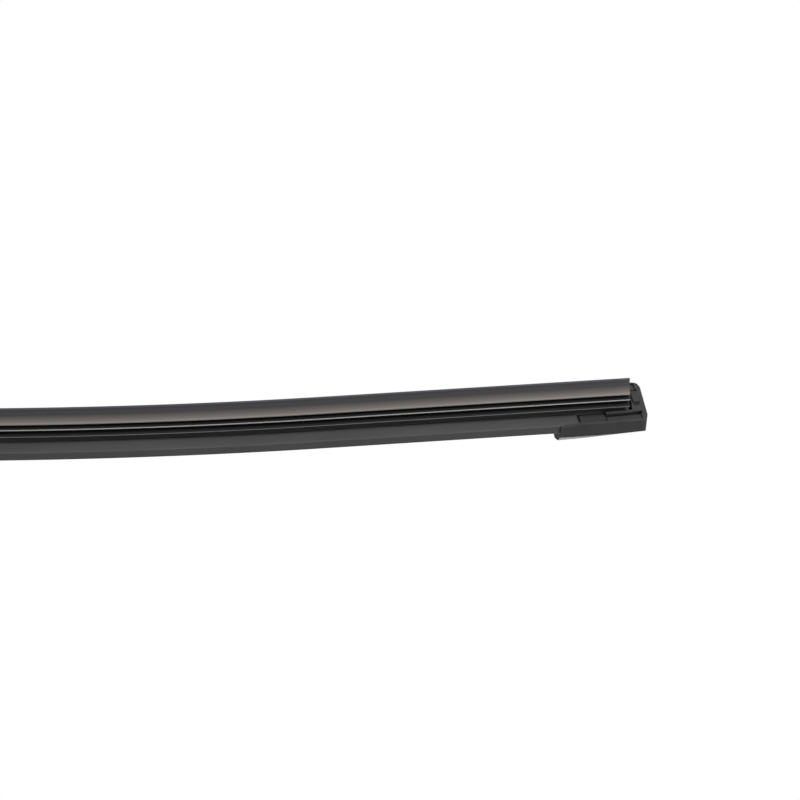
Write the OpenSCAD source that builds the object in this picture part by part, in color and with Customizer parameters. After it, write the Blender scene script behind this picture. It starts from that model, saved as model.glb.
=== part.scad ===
// Frameless windscreen wiper blade: a rubber squeegee held by two sprung steel rails,
// a two-part spoiler, moulded end caps and a middle connector for a hook arm.
//
// +X runs along the blade, +Y across it in the direction of wiping, and +Z away from the glass.
// The origin is the pivot's centre. Sections are drawn as [y, height above the wiping lip], and
// a station is a length along the lip, counted from the middle of the blade.

/* [Blade] */
// Length of the squeegee along its lip
rubber_len = 496; // [420:0.5:640]
// Radius of the blade's bend, measured along the lip
bend_r = 1365; // [1000:5:1800]
// Length of the bend on each side of the middle: beyond it the blade runs straight to its tip
bend_len = 158; // [120:2:180]

/* [Squeegee] */
// Thickness of the lip that touches the glass
lip_t = 0.7; // [0.5:0.05:1]
// Height of the lip's parallel part
lip_h = 0.9; // [0.5:0.1:1.5]
// Half-width of the wedge's shoulder
shoulder_w = 2.25; // [1.8:0.05:2.6]
// Height of the wedge's shoulder
shoulder_h = 4.4; // [4:0.05:4.6]
// Thickness of the web on which the wedge tilts
web_t = 0.9; // [0.6:0.05:1.4]
// Half-width of the lower flange
flange_1_w = 3.05; // [2.6:0.05:3.4]
// Height of the lower flange's edge
flange_1_h = 5.75; // [5.6:0.05:6]
// Half-width of the upper flange
flange_2_w = 3.9; // [3.5:0.05:4.1]
// Height of the upper flange's edge
flange_2_h = 7.5; // [7.2:0.05:7.8]
// Thickness of a flange at its edge
flange_t = 0.5; // [0.35:0.05:0.7]
// Half-width of the core that joins the flanges
core_w = 1.5; // [1.2:0.05:1.8]
// Half-width of the head that grips the rails
head_w = 3.1; // [2.7:0.05:3.3]
// Height of the head's top
head_top_h = 13.2; // [12.9:0.05:13.4]

/* [Rails] */
// Width of one spring rail
rail_w = 4.8; // [4:0.05:5.2]
// Thickness of one spring rail
rail_t = 0.95; // [0.7:0.05:1]
// Distance from the blade's middle plane to a rail
rail_y = 1.25; // [1:0.05:1.6]
// Height of the rails' lower face
rail_h = 11; // [10.8:0.05:11.2]
// Length of rail hidden in an end cap, beyond the spoiler
rail_in_cap = 13; // [8:0.5:15]

/* [Spoiler] */
// Half-width of the spoiler's base
base_w = 8.2; // [7.8:0.05:8.3]
// Height of the base's flat underside
base_h = 9.65; // [9.5:0.05:10]
// Height at which the base's sides end and the flanks begin
side_top_h = 12.45; // [11.9:0.05:12.7]
// Half-width between the claws under the rails
claw_gap = 3.5; // [3.4:0.05:3.8]
// Height of the fin's top
fin_top_h = 18.9; // [18:0.1:20]
// Half-width of the fin's rounded top
fin_w = 0.75; // [0.6:0.05:1]
// How far the flanks are hollowed
flank_sag = 1.2; // [0.6:0.1:1.4]
// Length of squeegee left uncovered at each end, beyond the spoiler
spoiler_short = 15.85; // [14:0.05:18]

/* [End caps] */
// Length over which a cap's mouth wraps the spoiler
cap_overlap = 5.35; // [5:0.05:9]
// Half-width of a cap
cap_w = 8.8; // [8.7:0.05:9.4]
// Height of the lower edge of a cap's sides
cap_low_h = 8.95; // [8.6:0.05:9.3]
// Height of the edge where a cap's sides turn into its hood
cap_edge_h = 13.4; // [13:0.1:14.2]
// Height of a cap's hood at its mouth
cap_top_h = 20.5; // [20.2:0.1:21.6]
// Length of a cap beyond the end of the squeegee, at its base
cap_nose = 4.9; // [4:0.1:6]
// Radius of the rounded corners of a cap's end, seen from above
cap_corner_r = 2.3; // [1:0.1:3]
// How much narrower a cap is at its end, on each side
cap_taper = 0.3; // [0:0.05:0.8]
// Clearance between the end of the squeegee and the cap
end_gap = 0.75; // [0.2:0.05:1]
// Width of the open groove between the end of the spoiler and the cap's sink
mouth_gap = 0.9; // [0.3:0.05:1.2]
// Half-width of the boss that covers the squeegee's end
boss_w = 2.2; // [1.6:0.05:2.6]
// Height of the boss's face above the lip
boss_h = 7.1; // [6.6:0.1:7.6]
// Half-width of the ledge on both sides of the boss
ledge_w = 4.4; // [3.8:0.05:4.5]
// Height of the ledge's face above the lip, where the face starts at the boss
ledge_h = 7.8; // [7.6:0.05:8.2]
// Width of the slot beside a cap's guide rib
rib_slot = 0.95; // [0.6:0.05:1.2]
// Depth of that slot, measured from the base's underside
slot_depth = 0.85; // [0.4:0.05:1]
// How far that slot runs in towards the middle at its outer end
slot_lean = 0.45; // [0:0.05:0.6]
// Width of the guide rib on each side of the squeegee
rib_t = 1.35; // [0.8:0.05:1.5]
// Length of the sink in a cap's underside, next to the spoiler
sink_len = 8.7; // [6:0.1:9.5]

/* [Connector] */
// Length of the clamp that carries the pivot
clamp_len = 58; // [50:1:60]
// Half-width of the clamp
clamp_w = 7.5; // [7.2:0.05:7.8]
// Height of the clamp's floor above the lip
clamp_floor_h = 14.5; // [14.3:0.1:15]
// Thickness of a cheek
cheek_t = 1.8; // [1.5:0.1:2]
// Radius of a cheek's rounded top
cheek_r = 5.2; // [4.8:0.1:6]
// Height of the pivot's centre above the lip
pivot_h = 26.2; // [25.8:0.1:27]
// Radius of the pivot tube
tube_r = 3.3; // [3:0.05:3.5]
// Radius of the bore that takes the pin of a side-pin arm
pin_bore_r = 2.45; // [2:0.05:2.6]
// Length of the shroud over the connector
shroud_len = 76; // [72:1:84]
// Half-width of the shroud
shroud_w = 10.1; // [9.9:0.05:11]
// Height of the shroud's crown
shroud_top_h = 29.8; // [28.4:0.2:31]

/* [Hook adaptor] */
// Width of the arm's hook
hook_w = 9; // [8:0.1:9.2]
// Thickness of the arm's hook
hook_t = 3; // [2.5:0.1:3.2]
// Radius of the drum that the hook wraps round
drum_r = 4.4; // [4.2:0.1:4.6]
// Length of the adaptor behind the pivot
adaptor_back = 15; // [13:0.5:16]
// Length of the adaptor in front of the pivot
adaptor_front = 9.4; // [9:0.1:10]
// Thickness of the adaptor's walls
adaptor_t = 0.9; // [0.7:0.05:1]

/* [Fits] */
// Gap between pieces that slide or clip together
gap = 0.1; // [0.06:0.01:0.15]
// Running clearance of the adaptor on the pivot tube
run_gap = 0.06; // [0.02:0.01:0.1]

/* [Hidden] */
$fn = 48;
tiny = 0.01;
far = 60;
// The bend is swept this far into the straight tip, whose section is larger by the seam.
lap = 0.5;
seam = 0.01;

rubber_end = rubber_len / 2;
spoiler_end = rubber_end - spoiler_short;
spoiler_start = clamp_len / 2 + 1.5;
rail_end = spoiler_end + rail_in_cap;
cap_mouth = spoiler_end - cap_overlap;

// The point on the lip at station s of the right half, as [x, z], and the blade's turn there.
function turn(s) = s * 180 / (PI * bend_r);
function turn_at(s) = turn(min(s, bend_len));
function point_at(s) =
    let (t = turn_at(s), run = max(0, s - bend_len))
    [bend_r * sin(t) + run * cos(t), bend_r * (cos(t) - 1) - run * sin(t)];

// Puts its children, drawn with the lip at the origin, at station s of the right half.
module at_station(s) {
    p = point_at(s);
    translate([p[0], 0, p[1]]) rotate([0, turn_at(s), 0]) children();
}

// Moves the whole part from the lip to the pivot's centre.
module in_frame() {
    translate([0, 0, -pivot_h]) children();
}

module on_right(right) {
    mirror([right ? 0 : 1, 0, 0]) children();
}

// Stands a section, drawn as [y, height], up across the blade and draws it len along +X.
module section_run(len) {
    rotate([90, 0, 90]) linear_extrude(len) children();
}

// Sweeps a section about the bend's centre, which lies on the glass side of the blade.
module arc_run(a, b) {
    translate([0, 0, -bend_r])
        rotate(a = -120, v = [1, 1, 1])
            rotate_extrude(angle = turn(b - a), start = turn(a), $fn = 720)
                translate([bend_r, 0]) rotate(-90) mirror([1, 0]) children();
}

// The straight tip's section, a hair larger than the bend's, so that the bend ends inside it.
module tip_run(from, to) {
    at_station(from) section_run(to - from) offset(delta = seam) children();
}

// Sweeps a section along the right half of the blade, from station a to station b.
module sweep(a, b) {
    if (a < bend_len) arc_run(a, min(b, bend_len + lap)) children();
    if (b > bend_len) tip_run(max(a, bend_len), b) children();
}

// Sweeps a section over the middle of the blade and out to station b on both sides.
module sweep_both(b) {
    arc_run(-min(b, bend_len + lap), min(b, bend_len + lap)) children();
    if (b > bend_len) for (right = [true, false]) on_right(right) tip_run(bend_len, b) children();
}

function flipped(points) = [for (i = [len(points) - 1:-1:0]) [-points[i][0], points[i][1]]];
module symmetric(points) {
    polygon(concat(points, flipped(points)));
}

// The wedge's hollow flank, from the lip to the shoulder.
FLANK_STEPS = 7;
function wedge_flank() = [
    for (i = [0:FLANK_STEPS])
        let (t = i / FLANK_STEPS)
        [lip_t / 2 + (shoulder_w - lip_t / 2) * pow(t, 1.6), lip_h + (shoulder_h - 0.3 - lip_h) * t]
];
function flange(w, h, root) = [
    [root, h - flange_t * 0.9], [w - 0.15, h - flange_t / 2], [w, h - flange_t / 4],
    [w, h + flange_t / 4], [w - 0.15, h + flange_t / 2], [root, h + flange_t * 0.9],
];
rail_top_h = rail_h + rail_t;
groove_w = rail_y - gap;
module squeegee_section() {
    symmetric(concat(
        [[lip_t / 2, 0]],
        wedge_flank(),
        [[shoulder_w, shoulder_h], [shoulder_w - 0.2, shoulder_h + 0.2], [web_t / 2, shoulder_h + 0.45]],
        flange(flange_1_w, flange_1_h, web_t / 2),
        flange(flange_2_w, flange_2_h, core_w),
        [[core_w, base_h - 0.1], [head_w, base_h + 0.15], [head_w, rail_h - gap],
         [groove_w, rail_h - gap], [groove_w, rail_top_h + gap],
         [head_w, rail_top_h + gap], [head_w - 0.6, head_top_h]]
    ));
}

// Clear space in the spoiler, the clamp and the caps for the rails and the squeegee's head.
channel_w = rail_y + rail_w + gap;
channel_h = head_top_h + gap;
function channel_points() = [
    [claw_gap, rail_h - gap], [channel_w, rail_h - gap], [channel_w, rail_top_h + gap],
    [head_w + 0.2, rail_top_h + gap], [head_w - 0.4, channel_h],
];

// The spoiler's hollow flank, from the base's side up to the fin.
function spoiler_flank(out) = [
    for (i = [0:8])
        let (t = i / 8, from = [base_w - 0.3, side_top_h + 0.3], to = [fin_w, fin_top_h - fin_w])
        [from[0] + (to[0] - from[0]) * t - flank_sag * sin(180 * t) * 0.6 + out,
         from[1] + (to[1] - from[1]) * t - flank_sag * sin(180 * t) * 0.8 + out * 0.6]
];
function spoiler_outside(out) = concat(
    [[base_w - 0.2 + out, base_h], [base_w + out, base_h + 0.2], [base_w + out, side_top_h]],
    spoiler_flank(out),
    [[fin_w * 0.5 + out, fin_top_h - 0.1 + out]]
);
chamber_low_h = channel_h + 0.9;
chamber_top_h = fin_top_h - 3;
module spoiler_section() {
    difference() {
        symmetric(concat([[claw_gap, base_h]], spoiler_outside(0), flipped([[0, fin_top_h]])));
        symmetric(concat([[claw_gap, base_h - 1]], channel_points()));
        symmetric([[2.3, chamber_low_h], [0.4, chamber_top_h]]);
    }
}

module squeegee() {
    color([0.11, 0.11, 0.115]) in_frame() sweep_both(rubber_end) squeegee_section();
}

module rail(side) {
    color([0.55, 0.56, 0.58]) in_frame() sweep_both(rail_end)
        translate([side > 0 ? rail_y : -rail_y - rail_w, rail_h]) square([rail_w, rail_t]);
}

module spoiler(right) {
    color([0.16, 0.16, 0.165]) in_frame() on_right(right)
        sweep(spoiler_start, spoiler_end) spoiler_section();
}

// End cap, drawn with the lip's end at the origin and the tip towards +X.
mouth_x = -spoiler_short - cap_overlap;
lead_h = 0.8;
lead_len = 5.5;
// A cap's outline at x: w is its half-width, edge and top the heights of its sides and its crown.
module cap_slice(x, w, edge, top, low) {
    hood = top - edge;
    translate([x, 0, 0]) section_run(tiny)
        symmetric([
            [w - 0.15, low], [w, low + 0.15], [w, edge], [w - 0.1, edge + hood * 0.05],
            [w * 0.65, edge + hood * 0.57], [w * 0.34, edge + hood * 0.84], [w * 0.1, top],
        ]);
}

// Distance by which a rounded corner of the cap's end stands in, at a distance before the end.
function corner_inset(back) =
    cap_corner_r - sqrt(pow(cap_corner_r, 2) - pow(max(cap_corner_r - back, 0), 2));

function cap_top(share) = cap_edge_h + (cap_top_h - cap_edge_h) * share;
module cap_body() {
    end_w = cap_w - cap_taper;
    hull() {
        cap_slice(mouth_x, cap_w, cap_edge_h, cap_top(1), cap_low_h + lead_h);
        cap_slice(mouth_x + lead_len, cap_w, cap_edge_h, cap_top(0.96), cap_low_h);
        cap_slice(-spoiler_short * 0.5, cap_w - cap_taper * 0.4, cap_edge_h, cap_top(0.84), cap_low_h);
        cap_slice(-cap_corner_r, cap_w - cap_taper * 0.75, cap_edge_h, cap_top(0.5), cap_low_h);
        cap_slice(cap_nose - cap_corner_r, end_w, cap_edge_h, cap_top(0.3), cap_low_h);
        for (back = [0.6, 0.25, 0] * cap_corner_r)
            let (inset = corner_inset(back))
            cap_slice(cap_nose - back, end_w - inset, cap_edge_h + inset * 0.8,
                      cap_edge_h + inset * 0.8 + 1, cap_low_h);
    }
}

// The boss that covers the squeegee's end, on a ledge that falls away from the glass on both sides.
ledge_fall = 1.4;
module cap_end() {
    root = base_h + 0.5;
    reach = cap_nose - cap_corner_r + 0.6;
    translate([end_gap + 0.5, -boss_w, boss_h]) cube([reach - end_gap - 0.5, 2 * boss_w, root - boss_h]);
    difference() {
        section_run(reach) symmetric([[boss_w, ledge_h], [ledge_w, ledge_h + ledge_fall], [ledge_w, root]]);
        // Grooves at the boss's foot.
        for (side = [-1, 1]) translate([end_gap + 0.5, side * (boss_w + 0.35) - 0.35, ledge_h - 1])
            cube([far, 0.7, 1.5]);
    }
}

rib_h = base_h - 0.6;
floor_h = base_h - 0.2;
module cap_hollow() {
    // The mouth takes the end of the spoiler and is open below.
    translate([mouth_x - 1, 0, 0]) section_run(cap_overlap + 1 + mouth_gap)
        symmetric(concat([[base_w + gap, -1]], spoiler_outside(gap), flipped([[0, fin_top_h + 2 * gap]])));
    // The channel takes the rails' ends and the squeegee's head, and the flanges run below it.
    translate([-spoiler_short - 1, 0, 0]) section_run(rail_in_cap + 1.5)
        symmetric(channel_points());
    translate([-spoiler_short - 1, 0, 0]) section_run(spoiler_short + 1 + end_gap)
        symmetric([[claw_gap, -1], [claw_gap, rail_h - gap], [head_w + gap, rail_h], [head_w + gap, channel_h]]);
}

// The shallow sink in a cap's underside next to the spoiler, and the slot beside its guide rib.
module cap_underside(side) {
    inner = claw_gap + rib_t;
    wall = cap_w - cap_taper - 0.7;
    rib_len = spoiler_short - sink_len;
    reach = cap_nose - cap_corner_r + 0.6;
    mirror([0, side > 0 ? 0 : 1, 0]) {
        // Sink, from the spoiler's end to the start of the slot.
        translate([-spoiler_short - 1, claw_gap - tiny, -1])
            cube([sink_len + 1, wall - claw_gap, base_h + 0.5 + 1]);
        // Guide rib's lower edge, and the floor beyond the slot.
        translate([-rib_len - 1, claw_gap - tiny, -1])
            cube([rib_len + 1 + end_gap, rib_t + rib_slot, rib_h + 1]);
        translate([-rib_len - 1, inner + rib_slot / 2, -1])
            cube([rib_len + 1 + reach, wall - inner - rib_slot / 2, floor_h + 1]);
        // Slot.
        translate([0, 0, -1]) linear_extrude(base_h + slot_depth + 1)
            polygon([[-rib_len - tiny, inner], [reach + 0.4, inner - slot_lean],
                     [reach + 0.4, inner - slot_lean + rib_slot], [-rib_len - tiny, inner + rib_slot]]);
    }
}

module end_cap(right) {
    color([0.14, 0.14, 0.145]) in_frame() on_right(right) at_station(rubber_end)
        difference() {
            union() {
                cap_body();
                cap_end();
            }
            cap_hollow();
            cap_underside(1);
            cap_underside(-1);
        }
}

// The clamp: claws round the rails below, a floor, and two cheeks that carry the pivot tube.
cheek_in = clamp_w - cheek_t;
module clamp_section() {
    difference() {
        symmetric([[claw_gap, base_h], [clamp_w - 0.3, base_h], [clamp_w, base_h + 0.3],
                   [clamp_w, clamp_floor_h]]);
        symmetric(concat([[claw_gap, base_h - 1]], channel_points()));
    }
}
module cheek_outline() {
    difference() {
        hull() {
            translate([0, pivot_h]) circle(cheek_r);
            translate([-clamp_len * 0.31, clamp_floor_h - 1]) square([clamp_len * 0.62, 2]);
        }
        translate([0, pivot_h]) circle(tube_r + gap / 5);
    }
}
module connector_clamp() {
    color([0.2, 0.2, 0.21]) in_frame() {
        arc_run(-clamp_len / 2, clamp_len / 2) clamp_section();
        for (y = [-cheek_in, clamp_w]) translate([0, y, 0]) rotate([90, 0, 0])
            linear_extrude(cheek_t) cheek_outline();
    }
}

// A hollow rivet with a turned-over rim at each end: its bore takes the pin of a side-pin arm.
rim_t = 0.5;
rim_r = tube_r + 0.9;
module pivot_tube() {
    color([0.72, 0.73, 0.75]) rotate([90, 0, 0]) difference() {
        union() {
            cylinder(h = 2 * (clamp_w + gap + rim_t), r = tube_r, center = true);
            for (side = [-1, 1]) translate([0, 0, side * (clamp_w + gap + rim_t / 2)])
                cylinder(h = rim_t, r = rim_r, center = true);
        }
        cylinder(h = far, r = pin_bore_r, center = true);
    }
}

// The shroud's outline at a station, as [y, height]. It falls from the crown to the spoiler's fin,
// and fall is the share of that height lost at the station.
shroud_lift = 1.1;
shroud_wall = 1.2;
crown_w = clamp_w + gap + rim_t + 0.2 + shroud_wall;
module shroud_slice(s, w, fall, crown) {
    top = shroud_top_h - fall * (shroud_top_h - fin_top_h - shroud_lift);
    at_station(s) section_run(tiny)
        symmetric([[w - 0.2, base_h + 0.4], [w, base_h + 0.7],
                   [w, side_top_h + (top - side_top_h) * 0.35], [crown + 0.6, top - 0.5], [crown, top]]);
}
window_front = 17;
window_back = 24;
window_w = clamp_w + 0.15;
module shroud_body() {
    end = shroud_len / 2;
    hull() for (right = [true, false]) on_right(right) {
        shroud_slice(end * 0.08, shroud_w, 0, crown_w * 0.86);
        shroud_slice(end * 0.24, shroud_w, 0.06, crown_w * 0.8);
        shroud_slice(end * 0.5, shroud_w, 0.35, crown_w * 0.6);
        shroud_slice(end * 0.78, shroud_w - 0.25, 0.67, crown_w * 0.37);
        shroud_slice(end, base_w + 0.8, 1, crown_w * 0.2);
    }
}
module connector_shroud() {
    inner = clamp_w + gap + rim_t + 0.2;
    color([0.15, 0.15, 0.155]) in_frame() difference() {
        shroud_body();
        // Space for the clamp, which bends with the blade, and for its cheeks and the tube's rims.
        arc_run(-clamp_len / 2 - 3 * gap, clamp_len / 2 + 3 * gap)
            symmetric([[inner, -far], [inner, clamp_floor_h + 3 * gap]]);
        translate([-clamp_len * 0.33, -inner, -far]) cube([clamp_len * 0.66, 2 * inner, 2 * far]);
        // Window for the adaptor and the arm's hook.
        translate([-window_back, -window_w, 0]) cube([window_back + window_front, 2 * window_w, far]);
        // Seats for the inner ends of the spoiler.
        for (right = [true, false]) on_right(right) at_station(clamp_len / 2) section_run(far)
            symmetric(concat([[base_w + gap, -far]], spoiler_outside(gap),
                             flipped([[0, fin_top_h + 2 * gap]])));
        // Holes through which a side pin reaches the tube.
        translate([0, 0, pivot_h]) rotate([90, 0, 0])
            cylinder(h = far, r = rim_r + 0.3, center = true);
    }
}

// The adaptor, seen from the side, with the pivot at the origin. The hook wraps the drum from
// above and its short leg lies between the drum and the tongue.
leg_gap = hook_t + 0.3;
tongue_z = -drum_r - leg_gap;
plate_in = hook_w / 2 + gap;
adaptor_w = plate_in + adaptor_t;
module adaptor_side() {
    low = tongue_z - adaptor_t;
    hull() {
        translate([adaptor_front - 5.2, 1.5]) circle(5.2);
        translate([-adaptor_back, -1]) square([1, 5]);
        translate([-adaptor_back + 5, low]) square([adaptor_back - 6, 1]);
        translate([-adaptor_back * 0.5, 5.6]) square([6, 1]);
    }
}
module hook_adaptor() {
    low = tongue_z - adaptor_t;
    color([0.13, 0.13, 0.135]) rotate([90, 0, 0]) difference() {
        union() {
            for (side = [-1, 1]) translate([0, 0, side * (plate_in + adaptor_t / 2)])
                linear_extrude(adaptor_t, center = true) adaptor_side();
            cylinder(h = 2 * plate_in, r = drum_r, center = true);
            // Floor under the hook's short leg, with its spring tongue.
            linear_extrude(2 * plate_in, center = true)
                translate([-adaptor_back + 5, low]) square([adaptor_back - 6, adaptor_t]);
            // Latch on the tongue, which snaps into the hole in the hook.
            linear_extrude(3, center = true)
                translate([-7, tongue_z]) polygon([[-1.6, 0], [0.4, 0.8], [1.2, 0.8], [1.2, 0]]);
            // Web that joins the side plates behind the hook.
            linear_extrude(2 * plate_in, center = true) translate([-adaptor_back, -1]) square([1, 3]);
        }
        cylinder(h = far, r = tube_r + run_gap, center = true);
        // Slits that free the tongue on both sides.
        for (side = [-1, 1]) translate([-adaptor_back + 4, low - 1, side * 2.6 - 0.3])
            cube([adaptor_back - 8, adaptor_t + 1.5, 0.6]);
    }
}

squeegee();
rail(1);  // rail_front
rail(-1);  // rail_rear
spoiler(false);  // spoiler_left
spoiler(true);  // spoiler_right
end_cap(false);  // end_cap_left
end_cap(true);  // end_cap_right
connector_clamp();
pivot_tube();
connector_shroud();
hook_adaptor();
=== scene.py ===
# %% [markdown]
# # A frameless wiper blade
# A modern wiper blade has no metal yokes over it. Two sprung steel rails run the whole length
# inside a soft spoiler, and they press a long rubber squeegee on the glass. A moulded cap closes
# each end, and a connector in the middle takes the arm. We look at the blade from the glass side,
# so the thin wiping lip is nearest to us and the spoiler lies behind it.
#
# The construction is already built. We load it as a fixed frame, and then give every surface its
# finish. Long pieces are swept again, finer and with rounded edges. Moulded pieces get a soft
# bevel.

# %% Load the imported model
import math

import bmesh
import bpy
from mathutils import Matrix, Vector


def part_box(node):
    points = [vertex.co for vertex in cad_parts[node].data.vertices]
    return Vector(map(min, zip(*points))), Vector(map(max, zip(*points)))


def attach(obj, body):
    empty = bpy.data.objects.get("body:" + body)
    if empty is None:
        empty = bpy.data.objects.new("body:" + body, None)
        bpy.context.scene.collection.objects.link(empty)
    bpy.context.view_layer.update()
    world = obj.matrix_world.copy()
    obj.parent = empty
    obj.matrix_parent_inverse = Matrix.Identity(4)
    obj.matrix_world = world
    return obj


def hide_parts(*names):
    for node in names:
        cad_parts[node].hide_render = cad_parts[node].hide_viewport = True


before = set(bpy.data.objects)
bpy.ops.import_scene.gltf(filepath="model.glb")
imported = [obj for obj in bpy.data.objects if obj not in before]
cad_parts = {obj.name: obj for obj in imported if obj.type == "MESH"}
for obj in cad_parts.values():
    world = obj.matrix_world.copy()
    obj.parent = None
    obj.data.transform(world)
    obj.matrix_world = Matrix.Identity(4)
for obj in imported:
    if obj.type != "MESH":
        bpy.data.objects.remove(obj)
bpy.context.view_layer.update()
MM = 0.001


def in_mm(point, digits=1):
    """A point's coordinates in millimetres, rounded to be printed."""
    return [round(v / MM, digits) for v in point]


# %% [markdown]
# ## The line that the blade follows
# A blade lies curved when it is off the glass, because its rails are sprung. Here the middle is an
# arc and the tips are straight. A place on the blade is easiest to give as a station, which is a
# length along the wiping lip from the middle, a distance across the blade, and a height above the
# lip. A tree of nodes follows that rule later.

# %% The blade's own coordinates
BEND_R = 1365 * MM
BEND_HALF = 158 * MM
PIVOT_H = 26.2 * MM
RUBBER_END = 248 * MM
SPOILER_START = 30.5 * MM
SPOILER_END = 232.15 * MM


# %% [markdown]
# ## The camera
# The photograph is taken from the glass side with a long lens, from in front of the blade and
# below it. Only one half of the blade is in the picture, and it runs out on the left. The angles,
# the distance and the focal length were found by fitting the blade's edges to the picture. The
# camera's three axes are worked out as vectors, so that the roll of the picture is one more turn
# about the line of sight.

# %% Camera
PICTURE_PX = 800
FOCAL_PX = 2834.5
SENSOR_MM = 36
SWING = math.radians(14.027)
UNDER = math.radians(40)
ROLL = math.radians(10.632)
DISTANCE = 815.55 * MM
SHIFT_RIGHT = 3.49 * MM
SHIFT_UP = -8.515 * MM
LOOK_AT = Vector((175 * MM, 0, -20 * MM - PIVOT_H))
NEAREST, FARTHEST = 0.01, 50

to_camera = Vector((-math.sin(SWING) * math.cos(UNDER),
                    math.cos(SWING) * math.cos(UNDER),
                    -math.sin(UNDER)))
level_right = Vector((math.cos(SWING), math.sin(SWING), 0))
level_up = to_camera.cross(level_right)
right = math.cos(ROLL) * level_right + math.sin(ROLL) * level_up
up = math.cos(ROLL) * level_up - math.sin(ROLL) * level_right

camera_data = bpy.data.cameras.new("camera")
camera_data.sensor_width = SENSOR_MM
camera_data.lens = FOCAL_PX * SENSOR_MM / PICTURE_PX
camera_data.clip_start = NEAREST
camera_data.clip_end = FARTHEST
camera = bpy.data.objects.new("camera", camera_data)
bpy.context.scene.collection.objects.link(camera)
turned = Matrix((right, up, to_camera)).transposed().to_4x4()
place = LOOK_AT + to_camera * DISTANCE + right * SHIFT_RIGHT + up * SHIFT_UP
camera.matrix_world = Matrix.Translation(place) @ turned
bpy.context.scene.camera = camera
print("camera at, in mm:", in_mm(place), "with a lens of", round(camera_data.lens, 1), "mm")

# %% [markdown]
# ## The room
# The blade floats in front of white. The camera, and everything that mirrors, sees a plain white
# world. The light that is scattered on the blade comes from a room instead, which is brighter on
# the glass side than above, so the hollows stay dark. A Light Path node tells the two kinds of ray
# apart.


# %% A helper for node trees
def new_node(tree, kind, values=None, **settings):
    """A new node of a tree. Values go to its sockets, and settings are its own properties."""
    node = tree.nodes.new(kind)
    for name, setting in settings.items():
        setattr(node, name, setting)
    for socket, value in (values or {}).items():
        node.inputs[socket].default_value = value
    return node


# %% Telling rays apart
def either_ray(tree):
    """One for rays that come from the camera or a mirror, and zero for scattered light."""
    ray = new_node(tree, "ShaderNodeLightPath")
    seen = ray.outputs["Is Camera Ray"]
    for kind in ("Is Glossy Ray", "Is Transmission Ray"):
        either = new_node(tree, "ShaderNodeMath", operation="MAXIMUM")
        tree.links.new(seen, either.inputs[0])
        tree.links.new(ray.outputs[kind], either.inputs[1])
        seen = either.outputs[0]
    return seen


# %% World
WHITE = (1, 1, 1, 1)
ROOM_TINT = (0.97, 0.98, 1, 1)
BRIGHT_SIDE = (0.0, -0.35, -0.94)
AWAY, TOWARDS = -0.6, 0.9
DIM, BRIGHT = 0.22, 0.6

world = bpy.data.worlds.new("white_room")
bpy.context.scene.world = world
world.use_nodes = True
sky = world.node_tree
sky.nodes.clear()
white = new_node(sky, "ShaderNodeBackground", {"Color": WHITE, "Strength": 1})
direction = new_node(sky, "ShaderNodeTexCoord")
facing = new_node(sky, "ShaderNodeVectorMath", {1: BRIGHT_SIDE}, operation="DOT_PRODUCT")
shade = new_node(sky, "ShaderNodeMapRange",
                 {"From Min": AWAY, "From Max": TOWARDS, "To Min": DIM, "To Max": BRIGHT})
room = new_node(sky, "ShaderNodeBackground", {"Color": ROOM_TINT})
chosen = new_node(sky, "ShaderNodeMixShader")
sky_out = new_node(sky, "ShaderNodeOutputWorld")
sky.links.new(direction.outputs["Generated"], facing.inputs[0])
sky.links.new(facing.outputs["Value"], shade.inputs["Value"])
sky.links.new(shade.outputs["Result"], room.inputs["Strength"])
sky.links.new(either_ray(sky), chosen.inputs[0])
sky.links.new(room.outputs[0], chosen.inputs[1])
sky.links.new(white.outputs[0], chosen.inputs[2])
sky.links.new(chosen.outputs[0], sky_out.inputs["Surface"])
print("room:", DIM, "away from the glass side, up to", BRIGHT, "towards it")

# %% [markdown]
# ## The floor
# The floor lies far below, under every camera, so no shadow falls near the blade. It is pale and
# matt. Seen by the camera or in a mirror it also glows, nearly as bright as the white world, so a
# view from above has a pale ground too. The glow lights nothing, because scattered light doesn't
# see it.

# %% Floor
FLOOR_Z = -2.6
FLOOR_HALF = 30
FLOOR_GREY = (0.86, 0.86, 0.86, 1)
FLOOR_ROUGH = 0.9
GLOW = 0.95
GLOW_SHARE = 0.9

floor_mesh = bpy.data.meshes.new("floor")
corners = ((-1, -1), (1, -1), (1, 1), (-1, 1))
floor_mesh.from_pydata([(x * FLOOR_HALF, y * FLOOR_HALF, FLOOR_Z) for x, y in corners], [],
                       [(0, 1, 2, 3)])
floor = bpy.data.objects.new("floor", floor_mesh)
bpy.context.scene.collection.objects.link(floor)
floor_paint = bpy.data.materials.new("floor_paint")
floor_paint.use_nodes = True
painted = floor_paint.node_tree
matt = painted.nodes["Principled BSDF"]
matt.inputs["Base Color"].default_value = FLOOR_GREY
matt.inputs["Roughness"].default_value = FLOOR_ROUGH
glow = new_node(painted, "ShaderNodeEmission", {"Strength": GLOW})
glowing = new_node(painted, "ShaderNodeMath", {1: GLOW_SHARE}, operation="MULTIPLY")
floor_mix = new_node(painted, "ShaderNodeMixShader")
painted.links.new(either_ray(painted), glowing.inputs[0])
painted.links.new(glowing.outputs[0], floor_mix.inputs[0])
painted.links.new(matt.outputs[0], floor_mix.inputs[1])
painted.links.new(glow.outputs[0], floor_mix.inputs[2])
painted.links.new(floor_mix.outputs[0], painted.nodes["Material Output"].inputs["Surface"])
floor_mesh.materials.append(floor_paint)
print("floor:", -FLOOR_Z, "m below the blade")

# %% [markdown]
# ## Lamps
# Three large soft lamps shape the black surfaces. One below lights the glass side, which is the
# side that we see. One in front lights the side walls a little. One behind and above grazes the
# hood of the end cap, and draws the bright line along its edge.


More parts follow.
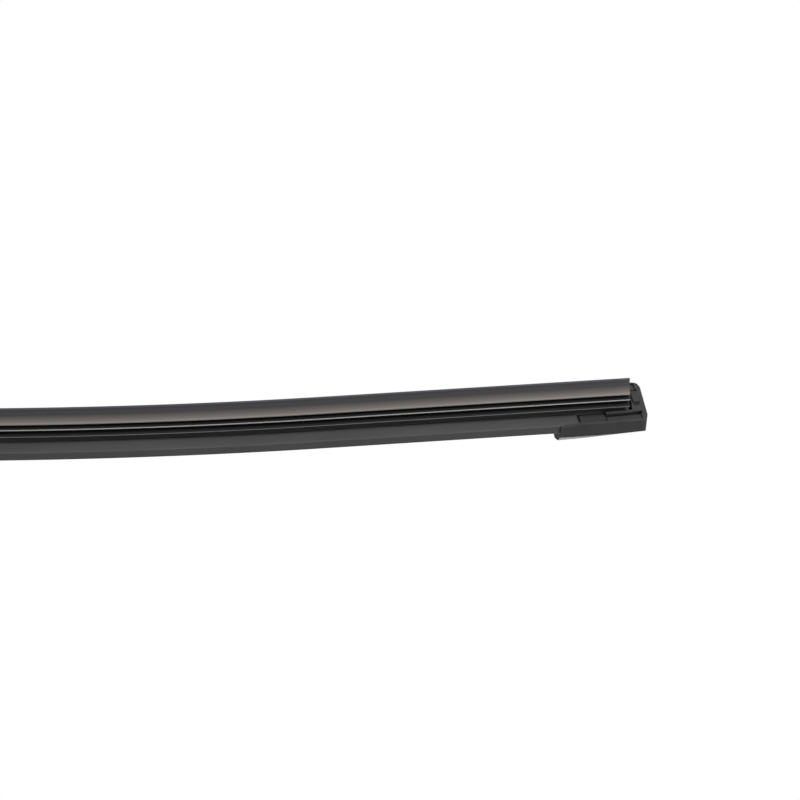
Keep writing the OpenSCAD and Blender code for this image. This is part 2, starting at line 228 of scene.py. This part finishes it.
# %% Lamps
def soft_lamp(name, place, target, size, watts):
    """A square area lamp that faces a target."""
    data = bpy.data.lights.new(name, "AREA")
    data.size = size
    data.energy = watts
    lamp = bpy.data.objects.new(name, data)
    bpy.context.scene.collection.objects.link(lamp)
    lamp.location = place
    lamp.rotation_mode = "QUATERNION"
    lamp.rotation_quaternion = (Vector(target) - Vector(place)).to_track_quat("-Z", "Y")


soft_lamp("glass_side_lamp", (0.45, 0.05, -1.0), target=(0.15, 0, 0), size=0.6, watts=10)
soft_lamp("front_lamp", (0.8, 1.0, -0.4), target=(0.15, 0, 0), size=0.8, watts=7)
soft_lamp("top_lamp", (0.4, -0.9, 1.6), target=(0, 0, 0), size=1.3, watts=24)

# %% [markdown]
# ## Finishes
# Every finish is black or steel, and they differ in how they scatter light. The extruded rubber
# has faint lines along its length, the moulded plastic has a fine spark-eroded grain, and the
# steel is drawn lengthwise. One helper makes them all: it lays noise over the surface for the
# tone, the roughness and the bump. A stretch along X turns the same noise into drawn or extruded
# lines. The Mix node has sockets of one name for each type of value, so those for colour are
# picked by number.

# %% Helper for finishes
CLOUD_SHARE = 0.06
CLOUD_DETAIL, GRAIN_DETAIL = 3, 4
CLOUD_LOW, CLOUD_HIGH = 0.3, 0.7
RELIEF = 0.35
MIX_SHARE, MIX_A, MIX_B, MIXED = 0, 6, 7, 2


def finish(name, dark, light, rough, grain, stretch=1.0, bump=0.02, metallic=0.0, specular=0.5):
    """A finish whose tone runs from dark to light, and whose roughness runs over a pair."""
    made = bpy.data.materials.new(name)
    made.use_nodes = True
    tree = made.node_tree
    shader = tree.nodes["Principled BSDF"]
    shader.inputs["Metallic"].default_value = metallic
    shader.inputs["Specular IOR Level"].default_value = specular
    where = new_node(tree, "ShaderNodeTexCoord")
    stretched = new_node(tree, "ShaderNodeMapping", {"Scale": (1 / stretch, 1, 1)})
    tree.links.new(where.outputs["Object"], stretched.inputs["Vector"])

    def noise(scale, detail):
        node = new_node(tree, "ShaderNodeTexNoise", {"Scale": scale, "Detail": detail})
        tree.links.new(stretched.outputs["Vector"], node.inputs["Vector"])
        return node.outputs["Fac"]

    cloudy, fine = noise(grain * CLOUD_SHARE, CLOUD_DETAIL), noise(grain, GRAIN_DETAIL)
    spread = new_node(tree, "ShaderNodeMapRange", {"From Min": CLOUD_LOW, "From Max": CLOUD_HIGH})
    tone = new_node(tree, "ShaderNodeMix", data_type="RGBA")
    tone.inputs[MIX_A].default_value = (*dark, 1)
    tone.inputs[MIX_B].default_value = (*light, 1)
    tree.links.new(cloudy, spread.inputs["Value"])
    tree.links.new(spread.outputs["Result"], tone.inputs[MIX_SHARE])
    tree.links.new(tone.outputs[MIXED], shader.inputs["Base Color"])
    dull = new_node(tree, "ShaderNodeMapRange", {"To Min": rough[0], "To Max": rough[1]})
    tree.links.new(fine, dull.inputs["Value"])
    tree.links.new(dull.outputs["Result"], shader.inputs["Roughness"])
    relief = new_node(tree, "ShaderNodeBump", {"Strength": RELIEF, "Distance": bump * MM})
    tree.links.new(fine, relief.inputs["Height"])
    tree.links.new(relief.outputs["Normal"], shader.inputs["Normal"])
    return made


# %% The finishes
spoiler_finish = finish("spoiler_finish", (0.037, 0.037, 0.038), (0.048, 0.048, 0.049),
                        rough=(0.55, 0.68), grain=2600, stretch=4, specular=0.4)
cap_finish = finish("cap_finish", (0.022, 0.022, 0.023), (0.030, 0.030, 0.031),
                    rough=(0.6, 0.72), grain=4200, specular=0.3)
# The mouth finish is a shaded copy of the cap plastic, painted shade for its unmodelled ribs:
# almost no shine, and a lighter, bluish tone.
mouth_shade_finish = finish("mouth_shade_finish", (0.09, 0.09, 0.097), (0.11, 0.11, 0.118),
                      rough=(0.85, 0.95), grain=4200, specular=0.06)
clamp_finish = finish("clamp_finish", (0.032, 0.032, 0.034), (0.044, 0.044, 0.046),
                      rough=(0.38, 0.5), grain=3000)
adaptor_finish = finish("adaptor_finish", (0.016, 0.016, 0.017), (0.022, 0.022, 0.023),
                        rough=(0.32, 0.44), grain=3600)
rail_finish = finish("rail_finish", (0.42, 0.42, 0.43), (0.52, 0.52, 0.53),
                     rough=(0.24, 0.36), grain=5200, stretch=40, bump=0.01, metallic=1.0)
tube_finish = finish("tube_finish", (0.5, 0.5, 0.5), (0.62, 0.62, 0.61),
                     rough=(0.22, 0.34), grain=3000, bump=0.01, metallic=1.0)
print("finishes:", sorted(m.name for m in bpy.data.materials if m.name.endswith("_finish")))

# %% [markdown]
# ## The rubber, its coat, and painted light
# The wiping rubber has a coat so that it glides, and the coat gives it a grey tone. Its sheen is
# painted into the colour as well: faint and bluish at the lip, strongest on the wedge's shoulder.
# Painted highlights run along the edges of the two flanges, and the hollows between them are
# painted black as shade. Above the second flange the tone is lifted, as painted light in its shade.
# Strips of faces could have a material each, but on the wedge one tone runs softly into the next.
# So each point of the swept strip will remember its height above the lip, and a colour ramp over
# that height lays the coat and the painted light exactly where the section has its edges.

# %% The coat with painted sheen, highlights and shade, by height above the lip in mm
RAMP_H = 14
# The hollows are painted shade, the flange edges are painted highlights, and the wedge's rise from
# lip to shoulder is painted sheen on the real grey coat.
HOLLOW_SHADE_1, HOLLOW_SHADE_2 = (0.006, 0.006, 0.006), (0.008, 0.008, 0.008)
EDGE_HIGHLIGHT_1, EDGE_HIGHLIGHT_2 = (0.41, 0.405, 0.40), (0.20, 0.20, 0.20)
COAT_AND_PAINTED_LIGHT = [
    (0, (0.066, 0.064, 0.077)), (1.0, (0.066, 0.064, 0.069)), (2.0, (0.048, 0.046, 0.046)),
    (3.0, (0.102, 0.093, 0.089)), (3.7, (0.156, 0.138, 0.128)), (4.1, (0.243, 0.221, 0.207)),
    (4.4, (0.285, 0.259, 0.243)), (4.55, HOLLOW_SHADE_1), (5.52, HOLLOW_SHADE_1), (5.6, EDGE_HIGHLIGHT_1),
    (6.0, EDGE_HIGHLIGHT_1), (6.06, HOLLOW_SHADE_2), (7.34, HOLLOW_SHADE_2), (7.42, EDGE_HIGHLIGHT_2), (7.78, EDGE_HIGHLIGHT_2),
    (7.84, (0.04, 0.04, 0.04)), (9.5, (0.06, 0.06, 0.06)),
]
print("coat from", COAT_AND_PAINTED_LIGHT[0][0], "to", COAT_AND_PAINTED_LIGHT[-1][0], "mm above the lip, in", len(COAT_AND_PAINTED_LIGHT), "steps")

# %% The rubber's finish
rubber_sheen_finish = finish("rubber_sheen_finish", (0.93, 0.93, 0.93), (1.0, 1.0, 1.0),
                       rough=(0.54, 0.66), grain=2600, stretch=12, specular=0.16)
rubber_tree = rubber_sheen_finish.node_tree
place_on_blade = new_node(rubber_tree, "ShaderNodeAttribute", attribute_name="on_blade")
axes = new_node(rubber_tree, "ShaderNodeSeparateXYZ")
share = new_node(rubber_tree, "ShaderNodeMath", {1: RAMP_H * MM}, operation="DIVIDE")
coat_and_light_ramp = new_node(rubber_tree, "ShaderNodeValToRGB")
for height, colour in COAT_AND_PAINTED_LIGHT[1:-1]:
    coat_and_light_ramp.color_ramp.elements.new(height / RAMP_H)
for stop, (height, colour) in zip(coat_and_light_ramp.color_ramp.elements, COAT_AND_PAINTED_LIGHT):
    stop.position = height / RAMP_H
    stop.color = (*colour, 1)
# The ramp's coat, with its painted sheen, highlights and shade, multiplies the rubber's own tone.
coat_and_light_mix = new_node(rubber_tree, "ShaderNodeMix", {MIX_SHARE: 1},
                  data_type="RGBA", blend_type="MULTIPLY")
base = rubber_tree.nodes["Principled BSDF"].inputs["Base Color"]
rubber_tree.links.new(place_on_blade.outputs["Vector"], axes.inputs[0])
rubber_tree.links.new(axes.outputs["Z"], share.inputs[0])
rubber_tree.links.new(share.outputs[0], coat_and_light_ramp.inputs[0])
rubber_tree.links.new(coat_and_light_ramp.outputs["Color"], coat_and_light_mix.inputs[MIX_A])
rubber_tree.links.new(base.links[0].from_socket, coat_and_light_mix.inputs[MIX_B])
rubber_tree.links.new(coat_and_light_mix.outputs[MIXED], base)
print("rubber finish:", len(rubber_tree.nodes), "nodes")

# %% [markdown]
# ## Sections with rounded corners
# An extruded piece is its section, pushed along the blade. The sections are the same outlines as
# in the construction, given as distance across the blade and height above the lip. No die has a
# perfectly sharp corner, so a helper rounds every corner by a small arc.

# %% Helpers for sections
NEARLY_STRAIGHT = math.radians(4)
SIDE_SHARE = 0.48
ARC_STEPS = 3


def mirrored(half):
    """The left half of an outline, from its right half listed from the bottom up."""
    return [(-y, h) for y, h in reversed(half)]


def rounded(outline, radius):
    """The outline with each corner turned into a short arc, limited by the sides that meet."""
    made = []
    for i, corner in enumerate(outline):
        corner = Vector(corner)
        back = Vector(outline[i - 1]) - corner
        ahead = Vector(outline[(i + 1) % len(outline)]) - corner
        angle = back.angle(ahead)
        if math.pi - angle < NEARLY_STRAIGHT:
            made.append(corner)
            continue
        reach = min(radius / math.tan(angle / 2), back.length * SIDE_SHARE,
                    ahead.length * SIDE_SHARE)
        start, end = corner + back.normalized() * reach, corner + ahead.normalized() * reach
        for k in range(ARC_STEPS + 1):
            t = k / ARC_STEPS
            made.append((1 - t) ** 2 * start + 2 * t * (1 - t) * corner + t ** 2 * end)
    return made


# %% [markdown]
# ## The squeegee's section
# From the glass up, the section has the thin lip, a wedge with hollow flanks, a narrow web on
# which the wedge tilts, two flanges, and a head with a groove for a rail on each side. All sizes
# are in millimetres.

# %% Sizes of the squeegee
LIP_T, LIP_H = 0.7, 0.9
SHOULDER_W, SHOULDER_H = 2.25, 4.4
SHOULDER_RIM, SHOULDER_BEVEL = 0.3, 0.2
HOLLOW_POWER = 1.6
WEB_T, WEB_FOOT = 0.9, 0.45
FLANGE_1 = (3.05, 5.75)
FLANGE_2 = (3.9, 7.5)
FLANGE_T, FLANGE_ROOT, FLANGE_NOSE = 0.5, 0.9, 0.15
CORE_W = 1.5
HEAD_W, HEAD_TOP, HEAD_BEVEL = 3.1, 13.2, 0.6
BASE_H = 9.65
CORE_TOP, HEAD_LOW = BASE_H - 0.1, BASE_H + 0.15
RAIL_Y, RAIL_H, RAIL_W, RAIL_T = 1.25, 11, 4.8, 0.95
GAP = 0.1
GROOVE_Y = RAIL_Y - GAP
GROOVE_LOW, GROOVE_TOP = RAIL_H - GAP, RAIL_H + RAIL_T + GAP
RUBBER_ROUND = 0.08
print("squeegee:", HEAD_TOP, "mm high, and", 2 * FLANGE_2[0], "mm wide over the second flange")


# %% The squeegee's outline
def wedge_flank(steps=14):
    """The wedge's hollow flank, from the lip to the shoulder."""
    rise = SHOULDER_H - SHOULDER_RIM - LIP_H
    spread = SHOULDER_W - LIP_T / 2
    return [(LIP_T / 2 + spread * (k / steps) ** HOLLOW_POWER, LIP_H + rise * k / steps)
            for k in range(steps + 1)]


def flange(width, height, root):
    """One flange's right side, from its lower root to its upper root."""
    return [(root, height - FLANGE_T * FLANGE_ROOT), (width - FLANGE_NOSE, height - FLANGE_T / 2),
            (width, height - FLANGE_T / 4), (width, height + FLANGE_T / 4),
            (width - FLANGE_NOSE, height + FLANGE_T / 2), (root, height + FLANGE_T * FLANGE_ROOT)]


squeegee_half = (
    [(LIP_T / 2, 0)] + wedge_flank()
    + [(SHOULDER_W, SHOULDER_H), (SHOULDER_W - SHOULDER_BEVEL, SHOULDER_H + SHOULDER_BEVEL),
       (WEB_T / 2, SHOULDER_H + WEB_FOOT)]
    + flange(*FLANGE_1, WEB_T / 2) + flange(*FLANGE_2, CORE_W)
    + [(CORE_W, CORE_TOP), (HEAD_W, HEAD_LOW), (HEAD_W, GROOVE_LOW), (GROOVE_Y, GROOVE_LOW),
       (GROOVE_Y, GROOVE_TOP), (HEAD_W, GROOVE_TOP), (HEAD_W - HEAD_BEVEL, HEAD_TOP)]
)
squeegee_section = rounded(squeegee_half + mirrored(squeegee_half), RUBBER_ROUND)
print("squeegee section:", len(squeegee_section), "points")

# %% [markdown]
# ## The spoiler's section
# The spoiler's base grips the rails with two claws, which leave a gap for the squeegee. Above its
# side walls two hollow flanks rise to a thin fin. The wind of the moving car presses on them, and
# that holds the blade down.

# %% Sizes of the spoiler
BASE_W, BASE_BEVEL = 8.2, 0.2
SIDE_TOP = 12.45
CLAW_GAP = 3.5
FIN_TOP, FIN_W, FIN_TIP = 18.9, 0.75, 0.1
FLANK_STEP = 0.3
FLANK_SAG, SAG_IN, SAG_DOWN = 1.2, 0.6, 0.8
CHANNEL_W = RAIL_Y + RAIL_W + GAP
CHANNEL_TOP = HEAD_TOP + GAP
HEAD_ROOM, TOP_DRAFT = 0.2, 0.4
SPOILER_ROUND = 0.1
print("spoiler:", 2 * BASE_W, "mm wide, with its fin", FIN_TOP, "mm above the lip")


# %% The spoiler's outline
def spoiler_flank(steps=18):
    """The hollow flank from the base's side up to the fin."""
    low, high = (BASE_W - FLANK_STEP, SIDE_TOP + FLANK_STEP), (FIN_W, FIN_TOP - FIN_W)
    points = []
    for k in range(steps + 1):
        t = k / steps
        sag = FLANK_SAG * math.sin(math.pi * t)
        points.append((low[0] + (high[0] - low[0]) * t - sag * SAG_IN,
                       low[1] + (high[1] - low[1]) * t - sag * SAG_DOWN))
    return points


spoiler_right = (
    [(CLAW_GAP, BASE_H), (BASE_W - BASE_BEVEL, BASE_H), (BASE_W, BASE_H + BASE_BEVEL),
     (BASE_W, SIDE_TOP)]
    + spoiler_flank() + [(FIN_W / 2, FIN_TOP - FIN_TIP)]
)
channel = [(HEAD_W - TOP_DRAFT, CHANNEL_TOP), (HEAD_W + HEAD_ROOM, GROOVE_TOP),
           (CHANNEL_W, GROOVE_TOP), (CHANNEL_W, GROOVE_LOW), (CLAW_GAP, GROOVE_LOW)]
spoiler_outline = (
    spoiler_right + [(0, FIN_TOP)] + mirrored(spoiler_right) + mirrored(channel) + channel
)
spoiler_section = rounded(spoiler_outline, SPOILER_ROUND)
print("spoiler section:", len(spoiler_section), "points")

# %% [markdown]
# ## Sweeping a section along the blade
# The long pieces follow one rule, so Geometry Nodes make them. The tree lays the section along a
# straight line first, keeps each point's station, distance across and height as an attribute for
# the finish, and only then bends the result. Bending last keeps every section square to the line,
# with no question of how a curve twists. The bend's radius and length are inputs of the tree.


# %% First the straight run
def straight_run(tree, given):
    """The outline pushed along X from Start to End, with closed ends and each point's place."""
    def link(a, b):
        tree.links.new(a, b)

    line = new_node(tree, "GeometryNodeCurvePrimitiveLine")
    for label in ("Start", "End"):
        point = new_node(tree, "ShaderNodeCombineXYZ")
        link(given.outputs[label], point.inputs["X"])
        link(point.outputs[0], line.inputs[label])
    cut = new_node(tree, "GeometryNodeResampleCurve", mode="LENGTH")
    profile = new_node(tree, "GeometryNodeMeshToCurve")
    pushed = new_node(tree, "GeometryNodeCurveToMesh", {"Fill Caps": True})
    position = new_node(tree, "GeometryNodeInputPosition")
    kept = new_node(tree, "GeometryNodeStoreNamedAttribute", {"Name": "on_blade"},
                    data_type="FLOAT_VECTOR", domain="POINT")
    link(line.outputs[0], cut.inputs["Curve"])
    link(given.outputs["Step"], cut.inputs["Length"])
    link(given.outputs["Outline"], profile.inputs["Mesh"])
    link(cut.outputs[0], pushed.inputs["Curve"])
    link(profile.outputs[0], pushed.inputs["Profile Curve"])
    link(pushed.outputs[0], kept.inputs["Geometry"])
    link(position.outputs[0], kept.inputs["Value"])
    return kept.outputs[0]


# %% Then the bend
def bent_place(tree, given):
    """The place in the frame of a point that is still at its station, across and height."""
    def maths(operation, a, b=None):
        node = new_node(tree, "ShaderNodeMath", operation=operation)
        for socket, value in zip(node.inputs, (a, b)):
            if isinstance(value, (int, float)):
                socket.default_value = value
            elif value is not None:
                tree.links.new(value, socket)
        return node.outputs[0]

    radius, half = given.outputs["Bend Radius"], given.outputs["Bend Half"]
    position = new_node(tree, "GeometryNodeInputPosition")
    parts = new_node(tree, "ShaderNodeSeparateXYZ")
    tree.links.new(position.outputs[0], parts.inputs[0])
    station, across, height = parts.outputs
    bent = maths("MINIMUM", maths("MAXIMUM", station, maths("MULTIPLY", half, -1)), half)
    turn, run = maths("DIVIDE", bent, radius), maths("SUBTRACT", station, bent)
    sine, cosine = maths("SINE", turn), maths("COSINE", turn)
    reach = maths("ADD", radius, height)
    x = maths("ADD", maths("MULTIPLY", reach, sine), maths("MULTIPLY", run, cosine))
    fall = maths("ADD", radius, maths("MULTIPLY", run, sine))
    rise = maths("SUBTRACT", maths("MULTIPLY", reach, cosine), fall)
    z = maths("SUBTRACT", rise, given.outputs["Drop"])
    placed = new_node(tree, "ShaderNodeCombineXYZ")
    for value, label in ((x, "X"), (across, "Y"), (z, "Z")):
        tree.links.new(value, placed.inputs[label])
    return placed.outputs[0]


# %% The whole tree
SWEEP_INPUTS = [
    ("Outline", "NodeSocketGeometry"), ("Start", "NodeSocketFloat"), ("End", "NodeSocketFloat"),
    ("Step", "NodeSocketFloat"), ("Bend Radius", "NodeSocketFloat"),
    ("Bend Half", "NodeSocketFloat"), ("Drop", "NodeSocketFloat"),
    ("Finish", "NodeSocketMaterial"),
]
SWEEP = bpy.data.node_groups.new("blade_sweep", "GeometryNodeTree")
for label, kind in SWEEP_INPUTS:
    SWEEP.interface.new_socket(label, in_out="INPUT", socket_type=kind)
SWEEP.interface.new_socket("Piece", in_out="OUTPUT", socket_type="NodeSocketGeometry")
given = new_node(SWEEP, "NodeGroupInput")
moved = new_node(SWEEP, "GeometryNodeSetPosition")
real = new_node(SWEEP, "GeometryNodeRealizeInstances")
finished = new_node(SWEEP, "GeometryNodeSetMaterial")
result = new_node(SWEEP, "NodeGroupOutput")
SWEEP.links.new(straight_run(SWEEP, given), moved.inputs["Geometry"])
SWEEP.links.new(bent_place(SWEEP, given), moved.inputs["Position"])
SWEEP.links.new(moved.outputs[0], real.inputs[0])
SWEEP.links.new(real.outputs[0], finished.inputs["Geometry"])
SWEEP.links.new(given.outputs["Finish"], finished.inputs["Material"])
SWEEP.links.new(finished.outputs[0], result.inputs["Piece"])
print("sweep tree:", len(SWEEP.nodes), "nodes")

# %% [markdown]
# ## From the tree to a finished piece
# The tree runs once for each long piece, and we keep its result as a plain mesh, because the next
# step picks faces by the number of their corners. The two cut ends get a small bevel, which catches
# the light at the tip. Then the frame's own node is hidden, and the mesh is parented to the blade's
# body.

# %% Running the tree
STATION_STEP = 4 * MM


def sweep_mesh(name, section, start, end, coat):
    """A plain mesh of a section that is swept from start to end."""
    count = len(section)
    outline = bpy.data.meshes.new(name + "_outline")
    outline.from_pydata([(-y * MM, -h * MM, 0) for y, h in section],
                        [(i, (i + 1) % count) for i in range(count)], [])
    maker = bpy.data.objects.new(name + "_maker", outline)
    bpy.context.scene.collection.objects.link(maker)
    nodes = maker.modifiers.new("sweep", "NODES")
    nodes.node_group = SWEEP
    values = {"Start": start, "End": end, "Step": STATION_STEP, "Bend Radius": BEND_R,
              "Bend Half": BEND_HALF, "Drop": PIVOT_H, "Finish": coat}
    for item in SWEEP.interface.items_tree:
        if item.in_out == "INPUT" and item.name in values:
            nodes[item.identifier] = values[item.name]
    bpy.context.view_layer.update()
    evaluated = maker.evaluated_get(bpy.context.evaluated_depsgraph_get())
    mesh = bpy.data.meshes.new_from_object(evaluated)
    bpy.data.objects.remove(maker)
    mesh.name = name
    return mesh


# %% Softening the cut ends
END_EDGE = 0.1 * MM
EDGE_STEPS = 2
ROUND = 0.5
STRIP_EDGE_ANGLE = math.radians(50)


def soften_ends(mesh, count):
    """Turns the faces outwards, and bevels the rims of the two end faces of count corners."""
    shell = bmesh.new()
    shell.from_mesh(mesh)
    bmesh.ops.recalc_face_normals(shell, faces=shell.faces)
    cut_ends = [face for face in shell.faces if len(face.verts) == count]
    rims = [edge for face in cut_ends for edge in face.edges]
    bmesh.ops.bevel(shell, geom=rims, offset=END_EDGE, segments=EDGE_STEPS, profile=ROUND,
                    affect="EDGES", clamp_overlap=True)
    shell.to_mesh(mesh)
    shell.free()
    mesh.shade_smooth()
    mesh.set_sharp_from_angle(angle=STRIP_EDGE_ANGLE)


# %% The swept pieces
def swept(name, section, start, end, coat, node):
    """A piece swept from start to end, which stands for a node of the frame."""
    mesh = sweep_mesh(name, section, start, end, coat)
    soften_ends(mesh, len(section))
    piece = bpy.data.objects.new(name, mesh)
    bpy.context.scene.collection.objects.link(piece)
    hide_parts(node)
    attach(piece, "blade")
    low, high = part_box(node)
    over = [max(v.co[i] for v in mesh.vertices) - high[i] for i in range(3)]
    under = [min(v.co[i] for v in mesh.vertices) - low[i] for i in range(3)]
    print(name, len(mesh.polygons), "faces, box differs by, in mm:", in_mm(over, 2),
          in_mm(under, 2))


swept("rubber_strip", squeegee_section, -RUBBER_END, RUBBER_END, rubber_sheen_finish,
      "squeegee")
swept("spoiler_right_skin", spoiler_section, SPOILER_START, SPOILER_END, spoiler_finish,
      "spoiler_right")
swept("spoiler_left_skin", spoiler_section, -SPOILER_END, -SPOILER_START, spoiler_finish,
      "spoiler_left")

# %% [markdown]
# ## Moulded pieces
# The caps, the clamp, the shroud and the adaptor keep the form of the construction. They could be
# modelled again, but only their edges are too sharp: a mould leaves soft ones, and they catch the
# light as thin bright lines. So we merge a copy of each piece's mesh, dissolve the flat triangles,
# and let a Bevel modifier round what is left of the edges.

# %% Softening a moulded piece
SAME_POINT = 0.002 * MM
FLAT = math.radians(2)
MOULD_EDGE_ANGLE = math.radians(28)


def moulded(node, name, coat, body, width):
    """A copy of a node with soft edges, which stands for the node."""
    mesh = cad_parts[node].data.copy()
    mesh.name = name
    shell = bmesh.new()
    shell.from_mesh(mesh)
    bmesh.ops.remove_doubles(shell, verts=shell.verts, dist=SAME_POINT)
    bmesh.ops.dissolve_limit(shell, angle_limit=FLAT, verts=shell.verts, edges=shell.edges)
    shell.to_mesh(mesh)
    shell.free()
    mesh.materials.clear()
    mesh.materials.append(coat)
    mesh.shade_smooth()
    mesh.set_sharp_from_angle(angle=MOULD_EDGE_ANGLE)
    piece = bpy.data.objects.new(name, mesh)
    bpy.context.scene.collection.objects.link(piece)
    soft = piece.modifiers.new("soft_edges", "BEVEL")
    soft.width = width
    soft.segments = EDGE_STEPS
    soft.limit_method = "ANGLE"
    soft.angle_limit = MOULD_EDGE_ANGLE
    soft.use_clamp_overlap = True
    soft.harden_normals = True
    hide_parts(node)
    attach(piece, body)
    print(name, len(mesh.polygons), "faces before the bevel")
    return piece


# %% The moulded pieces
CAP_EDGE, SHROUD_EDGE, CLAMP_EDGE, ADAPTOR_EDGE = 0.2 * MM, 0.3 * MM, 0.15 * MM, 0.12 * MM
cap_left = moulded("end_cap_left", "cap_left_moulding", cap_finish, "blade",
                   CAP_EDGE)
cap_right = moulded("end_cap_right", "cap_right_moulding", cap_finish, "blade",
                    CAP_EDGE)
moulded("connector_shroud", "shroud_moulding", cap_finish, "blade", SHROUD_EDGE)
moulded("connector_clamp", "clamp_moulding", clamp_finish, "blade", CLAMP_EDGE)
moulded("hook_adaptor", "adaptor_moulding", adaptor_finish, "adaptor",
        ADAPTOR_EDGE)

# %% [markdown]
# ## The hoods' mouths
# The face at each hood's mouth, where the spoiler goes in, is finely ribbed, but the ribs are not
# modelled. A smooth face would shine when it is seen at a slant, so this one gets painted shade
# instead: a copy of the cap plastic with almost no shine and a lighter, bluish tone, which stands
# in for the ribs. We find it by the way it faces, back along the blade, and by its place at the
# cap's inner end.

# %% Painting shade on the mouths
MOUTH_REACH = 2 * MM
ALONG = 0.9
for cap, node in ((cap_left, "end_cap_left"), (cap_right, "end_cap_right")):
    low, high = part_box(node)
    side, mouth_x = (1, low.x) if low.x > 0 else (-1, high.x)
    cap.data.materials.append(mouth_shade_finish)
    for face in cap.data.polygons:
        if face.normal.x * side < -ALONG and abs(face.center.x - mouth_x) < MOUTH_REACH:
            face.material_index = 1
    print(node, "faces at the mouth:", sum(face.material_index for face in cap.data.polygons))

# %% [markdown]
# ## Steel pieces
# The rails and the pivot tube keep the frame's own meshes, because their form is already right.
# Only their finish changes: drawn strip steel for the rails, plated steel for the tube.

# %% Steel
for node, coat in (("rail_front", rail_finish), ("rail_rear", rail_finish),
                   ("pivot_tube", tube_finish)):
    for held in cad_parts[node].material_slots:
        held.material = coat
    print(node, "wears", coat.name)

# %% [markdown]
# ## The view transform
# The view transform stays plain, so that a colour renders as it is written.

# %% Finish
bpy.context.scene.view_settings.view_transform = "Standard"
